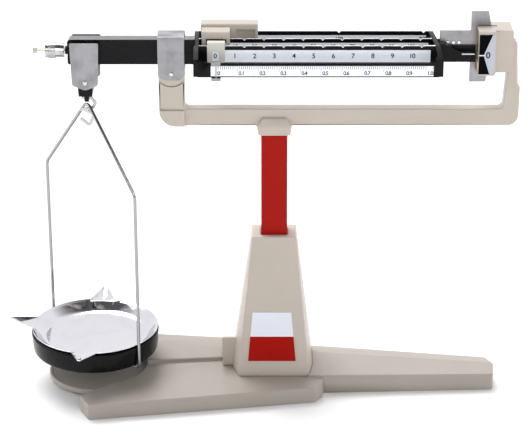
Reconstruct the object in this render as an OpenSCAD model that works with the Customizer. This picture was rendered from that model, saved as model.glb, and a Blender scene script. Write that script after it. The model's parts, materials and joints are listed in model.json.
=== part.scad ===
// Four-beam laboratory balance with a hanging pan.
// Millimetres. The origin is on the table under the column, +X runs along the beam to the dial,
// +Y to the back and +Z up.

/* [Base] */
// Height of the front plate of the base
plate_h = 14; // [10:0.5:20]
// Height of the legs where they leave the column
leg_h = 17.5; // [14:0.5:24]
// Height of the right leg at its far end
leg_end_h = 14.7; // [9:0.1:14.9]
// Drop of the back strip of the legs below their crease
leg_drop = 4; // [1:0.5:7]
// Reach of the right leg from the column axis
right_reach = 185.5; // [150:0.5:230]
// Reach of the left end from the column axis
left_reach = 160; // [150:0.5:180]
// Thickness of the cast walls seen from below
cast_wall = 4; // [3:0.5:6]
// Radius of the well for the pan
well_r = 41; // [36:0.5:44]
// Height of the platform rim under the pan
platform_h = 9; // [7:0.5:12]
// Thickness of the platform rim
platform_t = 4.5; // [3:0.5:6]
// Depth of the sunk floor of the platform
platform_sink = 1.5; // [0.5:0.1:2]

/* [Column and post] */
// Height of the top of the column above the table
column_top_h = 134.5; // [110:0.5:170]
// Width of the column at its top
column_top_w = 36.6; // [32:0.2:44]
// Depth of the column at its top
column_top_d = 27; // [24:0.5:34]
// Width of the front face at the foot of the column
column_foot_w = 58.5; // [52:0.5:66]
// Greatest width of the foot of the column
column_side_w = 69.5; // [67:0.5:74]
// Depth of the foot of the column
column_foot_d = 57; // [50:1:64]
// Wall of the hollow column
column_wall = 4; // [3:0.5:5]
// Height of the shoulder block left of the column
shoulder_h = 40.5; // [30:0.5:60]
// Width of the red post
post_w = 21.2; // [18:0.2:24]
// Depth of the red post
post_d = 16; // [13:0.5:18]
// Wall of the red post
post_wall = 2; // [1.5:0.5:3]
// Depth of the post inside the column
post_sunk = 28; // [16:1:40]

/* [Yoke] */
// Height of the underside of the yoke bar
bar_z = 228.7; // [215:0.1:245]
// Height of the yoke bar section
bar_h = 14.3; // [12:0.1:18]
// Depth of the yoke bar section
bar_d = 12; // [10:0.5:16]
// Width of the fork post at the main knife
fork_w = 20.7; // [18:0.1:26]
// Depth of the fork post
fork_d = 18; // [17:0.5:19]
// Radius of the lower outer corner of the fork post
fork_round = 13; // [4:0.5:14]
// Depth of the panel between the foot of the fork and its round boss
fork_panel = 0.5; // [0.3:0.1:0.6]
// Place of the inner face of the upright at the bar
upright_x = 183.3; // [178:0.1:195]
// Width of the upright at the bar
upright_w = 12.8; // [10:0.1:16]
// Height of the top of the upright
upright_top = 299; // [290:0.5:306]

/* [Beam] */
// Place of the main knife edge left of the column axis
main_knife_x = 82; // [74:0.5:90]
// Distance from the main knife edge to the pan knife edge
arm_len = 68.5; // [60:0.5:80]
// Height of both knife edges above the table
knife_z = 291; // [288:0.5:292]
// Height of the underside of the arm
arm_z = 280.4; // [278:0.1:282]
// Height of the arm section
arm_h = 20.6; // [18:0.1:22]
// Thickness of the arm
arm_t = 11; // [8:0.5:11.5]
// Length of the arm past the pan knife edge
arm_end = 13.8; // [12.5:0.1:18]
// Distance from rail to rail, front to back
rail_gap = 15; // [14.6:0.1:16]
// Thickness of a rail
rail_t = 2; // [1.5:0.1:2.4]
// Front of the front rail from the beam's centre plane
rail_front = 23; // [22:0.5:24]
// Left end of the rails left of the column axis
rail_left = 64; // [63:0.2:66]
// Right end of the front rail
rail_right = 133; // [131:0.5:136]
// Height of the top of the front rail
front_rail_top = 287.1; // [286.5:0.1:289]
// Height of the underside of the rails
rail_bottom = 275.4; // [273:0.1:277]
// Height of the top of the second rail
second_rail_top = 296.6; // [295:0.1:298]
// Rise from each rail to the next behind it
rail_rise = 1.2; // [0.6:0.1:2]
// Distance from notch to notch on the ten-step rails
notch_pitch = 15.6; // [14:0.1:15.8]
// Distance from notch to notch on the back rail
back_pitch = 68; // [60:0.5:68]
// Width of a notch
notch_w = 3; // [2:0.1:4]
// Thickness of a scale strip
strip_t = 0.5; // [0.3:0.05:0.6]
// Thickness of the damping vane
vane_t = 1.2; // [0.8:0.1:1.6]
// Greatest tilt of the beam each way
tilt = 3; // [1:0.1:3]

/* [Zero screw] */
// Diameter of the zero screw
zero_d = 1.9; // [1.5:0.1:2.4]
// Diameter of the knurled head of the zero nut
zero_nut_d = 13.2; // [10:0.2:16]
// Number of ribs round the zero nut
zero_ribs = 36; // [24:2:48]

/* [Pan and hanger] */
// Width of the stirrup plates
stirrup_w = 23; // [19:0.2:24]
// Thickness of the stirrup plates
stirrup_t = 1; // [0.8:0.1:1.4]
// Distance over the outer faces of the stirrup plates
stirrup_d = 26; // [24:0.5:30]
// Diameter of the bail wire
wire_d = 2.8; // [2:0.1:3.2]
// Height of the shoulders of the bail
shoulder_z = 181; // [150:1:200]
// Turn of the bail about the vertical
bail_turn = -45; // [-60:5:-30]
// Outer radius of the pan holder
holder_r = 53.5; // [50:0.5:58]
// Height of the top of the pan holder
holder_top = 45.4; // [43:0.2:50]
// Height of the wall of the pan holder
holder_h = 17; // [14:0.5:20]
// Thickness of the floor of the pan holder
holder_floor = 4.5; // [3:0.1:5]
// Height of the rim of the pan above the top of its holder
pan_rise = 2.6; // [2:0.1:4]
// Depth of the pan inside
pan_depth = 8.5; // [6:0.5:10]
// Thickness of the pan
pan_t = 0.8; // [0.6:0.1:1.2]
// Reach of the pan's spouts from its centre
spout_reach = 73; // [64:0.5:76]

/* [Damper] */
// Place of the left face of the damper housing
damper_x = 161; // [160.5:0.1:163]
// Width of the front block of the damper housing
damper_w = 14.3; // [13:0.1:16]
// Height of the underside of the damper housing
damper_z = 273; // [270:0.5:276]
// Height of the damper housing
damper_h = 36.4; // [34:0.2:40]
// Wall of the damper housing
damper_wall = 1.2; // [1:0.1:1.6]
// Gap between the damping magnets
magnet_gap = 5; // [4:0.2:7]

/* [Hidden] */
$fn = 64;
// Cut past a face, so that no skin is left
over = 1;
// Gap between two pieces that move past each other
run_gap = 0.3;

cream = [0.79, 0.75, 0.70];
black = [0.07, 0.07, 0.08];
steel = [0.75, 0.76, 0.78];

// Places worked out from the driving sizes
knife_x = -main_knife_x;
pan_x = knife_x - arm_len;
arm_left = pan_x - arm_end;
arm_top = arm_z + arm_h;
arm_mid = arm_z + arm_h / 2;
bar_top = bar_z + bar_h;

function rail_y(i) = -rail_front + i * rail_gap;
function rail_top(i) = i == 0 ? front_rail_top : second_rail_top + (i - 1) * rail_rise;

// Points of a round stretch about a centre
function arc(centre, r, from, to, steps = 8) =
    [for (i = [0:steps]) let (a = from + (to - from) * i / steps) centre + r * [cos(a), sin(a)]];

function unit(v) = v / norm(v);

// One corner of an outline, rounded to radius r between the points before and after it
function round_corner(before, corner, after, r) =
    r <= 0 ? [corner] :
    let (u = unit(before - corner), v = unit(after - corner),
         half = acos(max(-1, min(1, u * v))) / 2,
         centre = corner + unit(u + v) * r / sin(half),
         start = corner + u * r / tan(half) - centre,
         end = corner + v * r / tan(half) - centre,
         a = atan2(start[1], start[0]),
         turn = ((atan2(end[1], end[0]) - a + 540) % 360) - 180)
    arc(centre, r, a, a + turn, 6);

// An outline given as [x, y, radius] corners
function rounded(corners) =
    let (n = len(corners), p = [for (c = corners) [c[0], c[1]]])
    [for (i = [0:n - 1]) each round_corner(p[(i + n - 1) % n], p[i], p[(i + 1) % n],
                                           len(corners[i]) > 2 ? corners[i][2] : 0)];

// A box between two corners
module block(low, high) {
    translate(low) cube(high - low);
}

// An X-Z outline with depth along Y
module upright_slab(points, y_low, y_high) {
    translate([0, y_high, 0]) rotate([90, 0, 0]) linear_extrude(y_high - y_low) polygon(points);
}

// A Y-Z outline with length along X
module long_slab(points, x_low, x_high) {
    translate([x_low, 0, 0]) rotate([90, 0, 90]) linear_extrude(x_high - x_low) polygon(points);
}

// An open route given as [x, z, radius] corners
function rounded_route(corners) =
    let (n = len(corners), p = [for (c = corners) [c[0], c[1]]])
    [p[0], for (i = [1:n - 2]) each round_corner(p[i - 1], p[i], p[i + 1], corners[i][2]), p[n - 1]];

// Direction of a route at its point i
function heading(route, i) = unit(route[min(i + 1, len(route) - 1)] - route[max(i - 1, 0)]);

// A round wire of diameter d along a route in the X-Z plane
module wire(route, d, sides = 12) {
    last = len(route) - 1;
    ring = [for (i = [0:last]) let (t = heading(route, i)) for (k = [0:sides - 1])
            let (across = cos(360 * k / sides) * d / 2)
            [route[i][0] - t[1] * across, sin(360 * k / sides) * d / 2, route[i][1] + t[0] * across]];
    polyhedron(points = ring, faces = concat(
        [[for (k = [sides - 1:-1:0]) k], [for (k = [0:sides - 1]) last * sides + k]],
        [for (i = [0:last - 1]) for (k = [0:sides - 1])
            let (a = i * sides + k, b = i * sides + (k + 1) % sides) each [[a, b, b + sides], [a, b + sides, a + sides]]]));
}

// Outline of a flat ribbon of width w along a route, with round ends
function ribbon(route, w) =
    let (last = len(route) - 1,
         side = function (s) [for (i = [0:last]) let (t = heading(route, i)) route[i] + s * w / 2 * [-t[1], t[0]]],
         left = side(1), right = side(-1),
         end = heading(route, last), start = heading(route, 0),
         end_turn = atan2(end[1], end[0]), start_turn = atan2(start[1], start[0]))
    concat(left, arc(route[last], w / 2, end_turn + 75, end_turn - 75, 6), [for (i = [last:-1:0]) right[i]],
           arc(route[0], w / 2, start_turn - 105, start_turn - 255, 6));

// Base casting: its plan is a front plate and one long bar that crosses under the column
pan_y = 0;
well = [-147.8, -1];
well_rim = 1.3;
seat_z = plate_h;
right_root = 41.5;
crease_left = [-left_reach + 2, 33];
crease_right = [right_reach, -4.4];
plate_outline = [[-left_reach + 8.5, -79, 2], [34, -48.5, 5], [right_root - 1.5, -40, 3],
                 [right_root, -30, 0], [right_root, 8, 0], [-45, 1.2, 0], [-107.2, -5.1, 0],
                 [well[0] + 7, well[1] - well_r - 4, 2], [-left_reach, -62, 3]];
rear_outline = [[-45, 1.2, 0], [0, 3, 0], [0, 36, 0], [-42.4, 45.8, 0],
                [-left_reach + 9, 60, 4], [-left_reach, 44, 4], [-left_reach, -9, 3],
                [-107.2, -5.1, 0]];
leg_outline = [[0, -26, 0], [27, -26, 0], [28.5, -30.5, 0], [right_root, -31.8, 0], [right_reach - 2, -25.4, 3],
               [right_reach, -6, 3], [right_reach - 5, 13, 3], [40, 32, 0], [0, 36, 0]];

function crease_y(x) = crease_left[1] + (crease_right[1] - crease_left[1])
                       * (x - crease_left[0]) / (crease_right[0] - crease_left[0]);

// What is left of a leg once its top is sloped: the far end drops, and so does the back strip
module leg_top_cut(h_near, h_far, reach, strip) {
    slope = atan((h_near - h_far) / abs(reach));
    turn = atan((crease_right[1] - crease_left[1]) / (crease_right[0] - crease_left[0]));
    translate([0, -200, h_near]) rotate([0, sign(reach) * slope, 0])
        translate([-300, 0, 0]) cube([600, 400, 60]);
    translate([0, crease_y(0), h_near]) rotate([0, sign(reach) * slope, turn])
        rotate([-atan(leg_drop / strip), 0, 0]) translate([-300, 0, 0]) cube([600, 120, 60]);
}

module bar_leg(outline, h_near, h_far, reach, strip) {
    difference() {
        linear_extrude(h_near) polygon(rounded(outline));
        leg_top_cut(h_near, h_far, reach, strip);
    }
}

// Cells cut into the underside, with ribs left between them
module under_cells(outline, depth, cell, rib) {
    translate([0, 0, -over]) linear_extrude(depth + over) intersection() {
        offset(delta = -cast_wall) polygon(rounded(outline));
        union() {
            for (i = [-6:6]) for (j = [-4:4])
                translate([i * cell, j * cell]) square([cell - rib, cell - rib], center = true);
        }
    }
}

bolt_d = 5;
bolt_head_d = 9;
bolt_head_h = 4;
bolt_sites = [[0, -18], [0, 18]];

module column_outline(front_w, side_w, depth) {
    right = side_w / 2 - right_inset;
    polygon([[-front_w / 2, -depth / 2], [front_w / 2, -depth / 2], [right, -depth / 5],
             [right, depth / 3], [front_w / 2, depth / 2], [-front_w / 2, depth / 2],
             [-side_w / 2, depth / 3], [-side_w / 2, -depth / 5]]);
}

right_inset = 2.5;
shoulder_left = 43.4;
shoulder_front = 8.5;
shoulder_back = 24;

module column_footprint() {
    column_outline(column_foot_w, column_side_w, column_foot_d);
    translate([-shoulder_left, -shoulder_front]) square([shoulder_left, shoulder_front + shoulder_back]);
}

module base_casting() {
    color(cream) difference() {
        union() {
            difference() {
                union() {
                    linear_extrude(plate_h) polygon(rounded(plate_outline));
                    bar_leg(rear_outline, leg_h, leg_h - 0.5, -left_reach, 30);
                    bar_leg(leg_outline, leg_h, leg_end_h, right_reach, 19);
                }
                translate([well[0], well[1], -over]) cylinder(r = well_r, h = leg_h + 2 * over);
                under_cells(plate_outline, plate_h - cast_wall, 34, 3);
                under_cells(rear_outline, leg_h - leg_drop - cast_wall, 34, 3);
                under_cells(leg_outline, leg_end_h - leg_drop - cast_wall, 34, 3);
            }
            // Solid seat under the column, down to the table
            linear_extrude(plate_h) square([46, 46], center = true);
            // Platform under the pan, joined to the plate and the bar round its edge
            translate([well[0], well[1], platform_h - platform_t])
                cylinder(r = well_r + well_rim, h = platform_t);
        }
        translate([well[0], well[1], platform_h - platform_sink])
            cylinder(r = well_r - 1, h = leg_h);
        translate([0, 0, seat_z]) linear_extrude(leg_h) column_footprint();
        for (p = bolt_sites) translate([p[0], p[1], -over]) {
            cylinder(d = bolt_d + 0.4, h = leg_h + 2 * over);
            cylinder(d = bolt_head_d + 0.4, h = bolt_head_h + 0.3 + over);
        }
    }
}

// Column: a tapered hollow casting with a shoulder on its left and a socket for the post
bolt_boss_d = 11;
bolt_depth = 10;
hull_slab = 0.1;

module column_body(inset, z_low, z_high) {
    hull() {
        translate([0, 0, z_low]) linear_extrude(leg_h - z_low)
            column_outline(column_foot_w - 2 * inset, column_side_w - 2 * inset,
                           column_foot_d - 2 * inset);
        translate([0, 0, z_high - hull_slab]) linear_extrude(hull_slab)
            square([column_top_w - 2 * inset, column_top_d - 2 * inset], center = true);
    }
}

module column() {
    color(cream) difference() {
        union() {
            difference() {
                union() {
                    column_body(0, seat_z, column_top_h);
                    long_slab(rounded([[-shoulder_front, seat_z, 0], [shoulder_back, seat_z, 0], [shoulder_back, leg_h + 1, 0],
                                       [-shoulder_front + 2.5, shoulder_h, 1], [-shoulder_front, shoulder_h, 0.8]]),
                              -shoulder_left, -15);
                }
                column_body(column_wall, seat_z - over, column_top_h - post_sunk - 3);
            }
            for (p = bolt_sites) translate([p[0], p[1], seat_z]) cylinder(d = bolt_boss_d, h = bolt_depth + 4);
        }
        translate([-post_w / 2, -post_d / 2, column_top_h - post_sunk])
            cube([post_w, post_d, post_sunk + over]);
        for (p = bolt_sites) translate([p[0], p[1], seat_z - over]) cylinder(d = bolt_d, h = bolt_depth + over);
        translate([0, 0, column_top_h - post_screw_drop]) rotate([-90, 0, 0])
            cylinder(d = post_screw_d, h = column_top_d);
    }
}

// Blank plate on the slanting front face of the column
plate_low = 27.8;
plate_high = 70.1;
plate_margin = 8.1;
name_plate_t = 0.4;
face_tilt = atan((column_foot_d - column_top_d) / 2 / (column_top_h - leg_h - hull_slab));
function face_y(z) = -column_foot_d / 2 + (z - leg_h) * tan(face_tilt);
function face_half(z) = (column_foot_w + (column_top_w - column_foot_w)
                         * (z - seat_z) / (column_top_h - seat_z)) / 2;

module name_plate() {
    low_half = face_half(plate_low) - plate_margin;
    high_half = face_half(plate_high) - plate_margin;
    tall = (plate_high - plate_low) / cos(face_tilt);
    color([0.8, 0.1, 0.08]) translate([-1.8, face_y(plate_low) - 0.02, plate_low])
        rotate([90 - face_tilt, 0, 0]) linear_extrude(name_plate_t)
        polygon(rounded([[-low_half, 0, 0.6], [low_half, 0, 0.6], [high_half, tall, 0.6], [-high_half, tall, 0.6]]));
}

// Hexagon-headed bolts from below, through the base into the column
module base_bolts() {
    color(steel) for (p = bolt_sites) translate([p[0], p[1], 0.3]) {
        cylinder(d = bolt_head_d, h = bolt_head_h, $fn = 6);
        cylinder(d = bolt_d, h = seat_z + bolt_depth - 1);
    }
}

// Red post between the column and the boss of the yoke
boss_sunk = 9;
boss_bottom = bar_z - 6.8;
post_top = boss_bottom + boss_sunk;
post_screw_d = 4;
post_screw_drop = 14;

module post() {
    low = column_top_h - post_sunk;
    color([0.72, 0.08, 0.06]) difference() {
        block([-post_w / 2, -post_d / 2, low], [post_w / 2, post_d / 2, post_top]);
        block([-post_w / 2 + post_wall, -post_d / 2 + post_wall, low - over],
              [post_w / 2 - post_wall, post_d / 2 - post_wall, post_top + over]);
    }
}

// Set screws that hold the post, from the back of the column and of the boss
boss_d = 23;
module post_screws() {
    color(steel) {
        translate([0, post_d / 2, column_top_h - post_screw_drop]) rotate([-90, 0, 0])
            cylinder(d = post_screw_d, h = column_top_d / 2 - post_d / 2 + 0.5);
        translate([0, post_d / 2, boss_bottom + boss_sunk / 2]) rotate([-90, 0, 0])
            cylinder(d = post_screw_d, h = boss_d / 2 - post_d / 2 - 0.5);
    }
}

// Yoke: fork post, bar, upright and the boss on the post
cheek_top = knife_z + 5;
slot_gap = 0.6;
bearing_w = 10;
bearing_h = 5;
bearing_z = knife_z - run_gap - 0.8 - bearing_h + 0.8;
upright_lean = 2.2;
step_z = 263;
fork_boss_r = 13.1;
fork_boss_z = 275.7;

// Shallow panel on one side of the fork, from its foot up to the round boss at the knife
module fork_recess(x0, x1, side) {
    reach = (x1 - x0) / 2 + over;
    chord = asin(reach / fork_boss_r);
    y = side * fork_d / 2;
    upright_slab(concat([[x0 - over, bar_top], [x1 + over, bar_top]],
                        arc([knife_x, fork_boss_z], fork_boss_r, 270 + chord, 270 - chord, 16)),
                 min(y - side * fork_panel, y + side), max(y - side * fork_panel, y + side));
}

module yoke() {
    fork_left = knife_x - fork_w / 2;
    fork_right = knife_x + fork_w / 2;
    out_x = upright_x + upright_w;
    slot = arm_t / 2 + slot_gap;
    color(cream) difference() {
        union() {
            upright_slab(rounded([[fork_left, bar_z, fork_round], [fork_right, bar_z, 0],
                                  [fork_right, cheek_top, 1], [fork_left, cheek_top, 1]]),
                         -fork_d / 2, fork_d / 2);
            upright_slab(rounded([[fork_right - 1, bar_z, 0], [out_x, bar_z, 9], [out_x, step_z - 2, 2],
                                  [out_x - 1.9, step_z + 1, 2], [out_x - 3.6, upright_top, 2],
                                  [upright_x + upright_lean, upright_top, 1],
                                  [upright_x + 1.9, step_z + 9, 0], [upright_x, bar_top, 4],
                                  [fork_right + 0, bar_top, 3], [fork_right, bar_top + 4, 0],
                                  [fork_right - 1, bar_top + 4, 0]]), -bar_d / 2, bar_d / 2);
            // Boss that takes the post
            intersection() {
                upright_slab(rounded([[-13, boss_bottom, 2.5], [13, boss_bottom, 2.5], [14, bar_z + 1.5, 1.5],
                                      [9.5, bar_z + 7.2, 1], [-9.5, bar_z + 7.2, 1], [-14, bar_z + 1.5, 1.5]]),
                             -boss_d, boss_d);
                long_slab([[-boss_d / 2, boss_bottom - over], [boss_d / 2, boss_bottom - over], [boss_d / 2, bar_z + 0.5],
                           [bar_d / 2 + 0.6, bar_z + 10], [-bar_d / 2 - 0.6, bar_z + 10], [-boss_d / 2, bar_z + 0.5]], -20, 20);
            }
        }
        for (side = [-1, 1]) fork_recess(fork_left, fork_right, side);
        // Slot of the fork, with a floor under the arm
        block([fork_left - over, -slot, arm_z - 3], [fork_right + over, slot, cheek_top + over]);
        // Seats of the two bearings
        block([knife_x - bearing_w / 2, -fork_d / 2 + 1, bearing_z],
              [knife_x + bearing_w / 2, fork_d / 2 - 1, cheek_top + over]);
        // Socket of the post
        block([-post_w / 2, -post_d / 2, boss_bottom - over], [post_w / 2, post_d / 2, post_top]);
        translate([0, 0, boss_bottom + boss_sunk / 2]) rotate([-90, 0, 0]) cylinder(d = post_screw_d, h = boss_d);
        for (p = housing_screw_sites) translate(p) rotate([90, 0, 0])
            cylinder(d = housing_screw_d, h = 9);
        for (side = [-1, 1]) translate([knife_x, side * fork_d / 2, rivet_z]) rotate([90, 0, 0])
            cylinder(d = rivet_d, h = 3, center = true);
    }
}

// Agate bearings with a shallow groove under each end of the main knife
module main_bearings() {
    groove = 1.5;
    for (side = [-1, 1]) color([0.55, 0.45, 0.42])
        upright_slab([[knife_x - bearing_w / 2, bearing_z], [knife_x + bearing_w / 2, bearing_z],
                      [knife_x + bearing_w / 2, knife_z - run_gap + groove],
                      [knife_x, knife_z - run_gap], [knife_x - bearing_w / 2, knife_z - run_gap + groove]],
                     side > 0 ? arm_t / 2 + slot_gap : -fork_d / 2 + 1,
                     side > 0 ? fork_d / 2 - 1 : -arm_t / 2 - slot_gap);
}

// Bent sheet cover over the beam at the main knife
cover_t = 0.8;
cover_fit = 0.2;
cover_w = 21.3;
cover_low = 268.6;
cover_top = 304.3;
rivet_z = 273.6;
rivet_d = 2;

module bearing_cover() {
    x0 = knife_x - cover_w / 2;
    x1 = knife_x + cover_w / 2;
    out_y = fork_d / 2 + cover_fit + cover_t;
    in_y = fork_d / 2 + cover_fit;
    face = rounded([[x0 + 6, cover_low, 1], [x1 - 4, cover_low, 1], [x1, cover_low + 4, 1],
                    [x1, cover_top, 0], [x0, cover_top, 0], [x0, cover_low + 3.3, 1]]);
    color([0.72, 0.73, 0.75]) difference() {
        intersection() {
            long_slab(rounded([[-out_y, cover_low - 1, 0], [out_y, cover_low - 1, 0], [out_y, cover_top, 1.6],
                               [-out_y, cover_top, 1.6]]), x0, x1);
            upright_slab(face, -out_y - over, out_y + over);
        }
        long_slab(rounded([[-in_y, cover_low - 2, 0], [in_y, cover_low - 2, 0], [in_y, cover_top - cover_t, 0.8],
                           [-in_y, cover_top - cover_t, 0.8]]), x0 - over, x1 + over);
        translate([knife_x, 0, rivet_z]) rotate([90, 0, 0]) cylinder(d = rivet_d, h = 30, center = true);
    }
}

module cover_rivets() {
    out_y = fork_d / 2 + cover_fit + cover_t;
    color(steel) for (side = [-1, 1]) translate([knife_x, side * out_y, rivet_z])
        rotate([-side * 90, 0, 0]) {
            cylinder(d1 = 3.6, d2 = 2.6, h = 0.6);
            translate([0, 0, -2.4]) cylinder(d = rivet_d, h = 2.4);
        }
}

// Beam casting
plate_x0 = -rail_left;
end_t = 4;
pointer_end = damper_x - 0.8;
pointer_y = [-2, 4.5];
pointer_z = [281.2, 293.6];
pointer_tip_top = 290.1;
vane_strap = 2.5;
vane_y = pointer_y[1];
notch_zero = -39.5;
back_zero = -16;
knife_h = 6;
knife_half = 3.4;

// Rise of the front rail to the cross plate at its left end
corner_rise = 2.4;
corner_run = 9.5;

// Left or right end of a rail, which leans back with the end plate
function rail_end(i) = rail_right - i * 1.8;

module rail(i) {
    block([plate_x0 + end_t - 0.5, rail_y(i), rail_bottom + 2 * i],
          [rail_end(i) - end_t + 0.5, rail_y(i) + rail_t, rail_top(i)]);
}

module notch_row(i, first, pitch, count) {
    for (k = [0:count - 1])
        translate([first + k * pitch, rail_y(i) + rail_t / 2, rail_top(i)]) rotate([0, 45, 0])
            cube([notch_w / sqrt(2), rail_t + 2, notch_w / sqrt(2)], center = true);
}

// Cross plate that joins the four rails at one end
function end_outline() =
    rounded([[rail_y(0), rail_bottom, 1], [rail_y(3) + rail_t, rail_bottom + 6, 1],
             [rail_y(3) + rail_t, rail_top(3), 0.6], [rail_y(1) - 0.5, rail_top(1) + 0.3, 2],
             [rail_y(0), front_rail_top + corner_rise, 1]]);

// Triangular knife with its edge down, or up when up is 1
module knife(x, half_len, up) {
    s = up ? -1 : 1;
    upright_slab([[x, knife_z], [x + knife_half, knife_z + s * knife_h], [x - knife_half, knife_z + s * knife_h]],
                 -half_len, half_len);
}

module beam() {
    color(black) difference() {
        union() {
            upright_slab(rounded([[arm_left, arm_z, 1.5], [plate_x0 + 1, arm_z, 0], [plate_x0 + 1, arm_top, 0],
                                  [arm_left, arm_top, 3]]), -arm_t / 2, arm_t / 2);
            translate([arm_left - 2, 0, arm_mid]) rotate([0, 90, 0]) cylinder(d = 7, h = 2.5);
            long_slab(end_outline(), plate_x0, plate_x0 + end_t);
            intersection() {
                long_slab(end_outline(), rail_end(4) - end_t - 1, rail_right);
                linear_extrude(400) polygon([[rail_end(0), rail_y(0)], [rail_end(3), rail_y(3) + rail_t],
                                             [rail_end(3) - end_t, rail_y(3) + rail_t],
                                             [rail_end(0) - end_t, rail_y(0)]]);
            }
            for (i = [0:3]) rail(i);
            upright_slab([[plate_x0 + end_t - 0.5, front_rail_top - 1], [plate_x0 + end_t + corner_run, front_rail_top - 1],
                          [plate_x0 + end_t + corner_run, front_rail_top], [plate_x0 + end_t - 0.5, front_rail_top + corner_rise - 0.4]],
                         rail_y(0), rail_y(0) + rail_t);
            // Pointer arm
            block([rail_end(2) - 3, vane_y - 2, pointer_z[0]], [pointer_end, vane_y, pointer_z[1]]);
            upright_slab([[rail_end(2) - 3, pointer_z[0]], [pointer_end, pointer_z[0]], [pointer_end, pointer_tip_top],
                          [146.5, pointer_tip_top], [134.5, pointer_z[1] + 2.6], [rail_end(2) - 3, pointer_z[1] + 2.6]],
                         pointer_y[0], vane_y - 1);
            // Strap behind the vane that takes its rivets
            block([rail_end(2) - 3, vane_y + vane_t, pointer_z[1] - 4], [151, vane_y + vane_t + vane_strap, pointer_z[1] + 4]);
        }
        notch_row(1, notch_zero, notch_pitch, 11);
        notch_row(2, notch_zero, notch_pitch, 11);
        notch_row(3, back_zero, back_pitch, 3);
        knife(knife_x, 30, 0);
        knife(pan_x, 30, 1);
        translate([arm_left - 3, 0, arm_mid]) rotate([0, 90, 0]) cylinder(d = zero_d, h = zero_sunk + 3);
        for (p = vane_rivet_sites) translate(p) rotate([-90, 0, 0]) cylinder(d = vane_rivet_d, h = 8);
    }
}

module main_knife() {
    color(steel) knife(knife_x, fork_d / 2 - 1 - run_gap, 0);
}

pan_knife_half = stirrup_d / 2 - stirrup_t - run_gap;
module pan_knife() {
    color(steel) knife(pan_x, pan_knife_half, 1);
}

// White scale strips on the front of each rail
module scale_strip(i, x0, x1, z0, z1) {
    color([0.93, 0.95, 0.98]) block([x0, rail_y(i) - strip_t, z0], [x1, rail_y(i), z1]);
}

module scale_1g() {
    scale_strip(0, -50.2, 125, rail_bottom + 1.2, front_rail_top - 2.2);
}

module scale_10g() {
    scale_strip(1, -52.5, 123.5, second_rail_top - 13.4, second_rail_top - 3.4);
}

module scale_100g() {
    scale_strip(2, -52.5, 122.8, rail_top(2) - 12.5, rail_top(2) - 3.4);
}

module scale_200g() {
    scale_strip(3, -56, 122, rail_top(3) - 12.5, rail_top(3) - 3);
}

// Aluminium vane that swings between the magnets
vane_low = 262.6;
vane_high = 321.3;
vane_x = [156.2, 173.2];
vane_rivet_d = 2;
vane_rivet_sites = [for (x = [138, 142.5, 147]) [x, vane_y, pointer_z[1] + 2]];

module vane() {
    color([0.70, 0.71, 0.73]) difference() {
        upright_slab(rounded([[131.5, 288, 0.5], [vane_x[0], 288, 0.5], [vane_x[0], vane_low, 0.5],
                              [vane_x[0] + 13, vane_low, 0.5], [vane_x[1], vane_low + 26, 2], [vane_x[1], 305, 2],
                              [vane_x[1] - 3.3, vane_high, 0.5], [vane_x[0], vane_high, 0.5],
                              [vane_x[0], 305.4, 1], [131.5, 305.4, 0.5]]), vane_y, vane_y + vane_t);
        for (p = vane_rivet_sites) translate(p) rotate([-90, 0, 0]) cylinder(d = vane_rivet_d, h = 10);
    }
}

module vane_rivets() {
    color(steel) for (p = vane_rivet_sites) translate(p) rotate([-90, 0, 0]) {
        cylinder(d = vane_rivet_d, h = vane_t + vane_strap);
        translate([0, 0, -0.8]) cylinder(d1 = 2.4, d2 = 3.2, h = 0.8);
    }
}

// Zero adjustment
zero_sunk = 8;
zero_tip = -192;
nut_low = arm_left - 2 - 0.8;
nut_len = 14.8;

module zero_screw() {
    color([0.75, 0.7, 0.5]) translate([0, 0, arm_mid]) {
        translate([zero_tip + 1, 0, 0]) rotate([0, 90, 0]) cylinder(d = zero_d, h = arm_left + zero_sunk - zero_tip - 1);
        translate([zero_tip, 0, 0]) rotate([0, 90, 0]) cylinder(d = 4.8, h = 3.2);
    }
}

module zero_nut() {
    head = 8;
    color(steel) translate([nut_low, 0, arm_mid]) rotate([0, -90, 0]) difference() {
        union() {
            cylinder(d = zero_nut_d - 1.6, h = nut_len);
            translate([0, 0, nut_len - head]) cylinder(d = zero_nut_d - 0.5, h = head - 2.2);
            translate([0, 0, nut_len - 1.4]) cylinder(d = zero_nut_d - 0.5, h = 1.4);
            for (k = [0:zero_ribs - 1]) rotate(k * 360 / zero_ribs)
                translate([zero_nut_d / 2 - 0.6, -0.3, nut_len - head]) cube([0.6, 0.6, head - 2.2]);
        }
        translate([0, 0, -over]) cylinder(d = zero_d + 0.12, h = nut_len + 2 * over);
    }
}

// Riders. Each straddles its rail and slides along it.
rider_fit = 0.4;

module rail_slot(i) {
    block([-400, rail_y(i) - strip_t - rider_fit, 200],
          [400, rail_y(i) + rail_t + rider_fit, rail_top(i) + run_gap]);
}

module rider_200g() {
    y = rail_y(3);
    color(cream) difference() {
        long_slab(rounded([[y - 6, 290.5, 0], [y + 7.3, 290.5, 0], [y + 7.3, 307.3, 1.5], [y - 6, 307.3, 1.5]]),
                  -58.8, -13.2);
        rail_slot(3);
        // Pocket in the front, open at the bottom over the scale
        block([-31, y - 7, 289], [-15.6, y - 2.3, 302.4]);
        block([-31, y - 7, 289], [-15.6, y, 293.8]);
    }
}

module rider_100g() {
    y = rail_y(2);
    color(cream) difference() {
        long_slab(rounded([[y - 6.5, 291.3, 0], [y + 7, 291.3, 0], [y + 7, 305.5, 1.5], [y - 6.5, 305.5, 1.5]]),
                  -57.9, -35.4);
        rail_slot(2);
        block([-54.6, y - 8, 290], [-38.3, y, 299.4]);
    }
}

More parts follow.
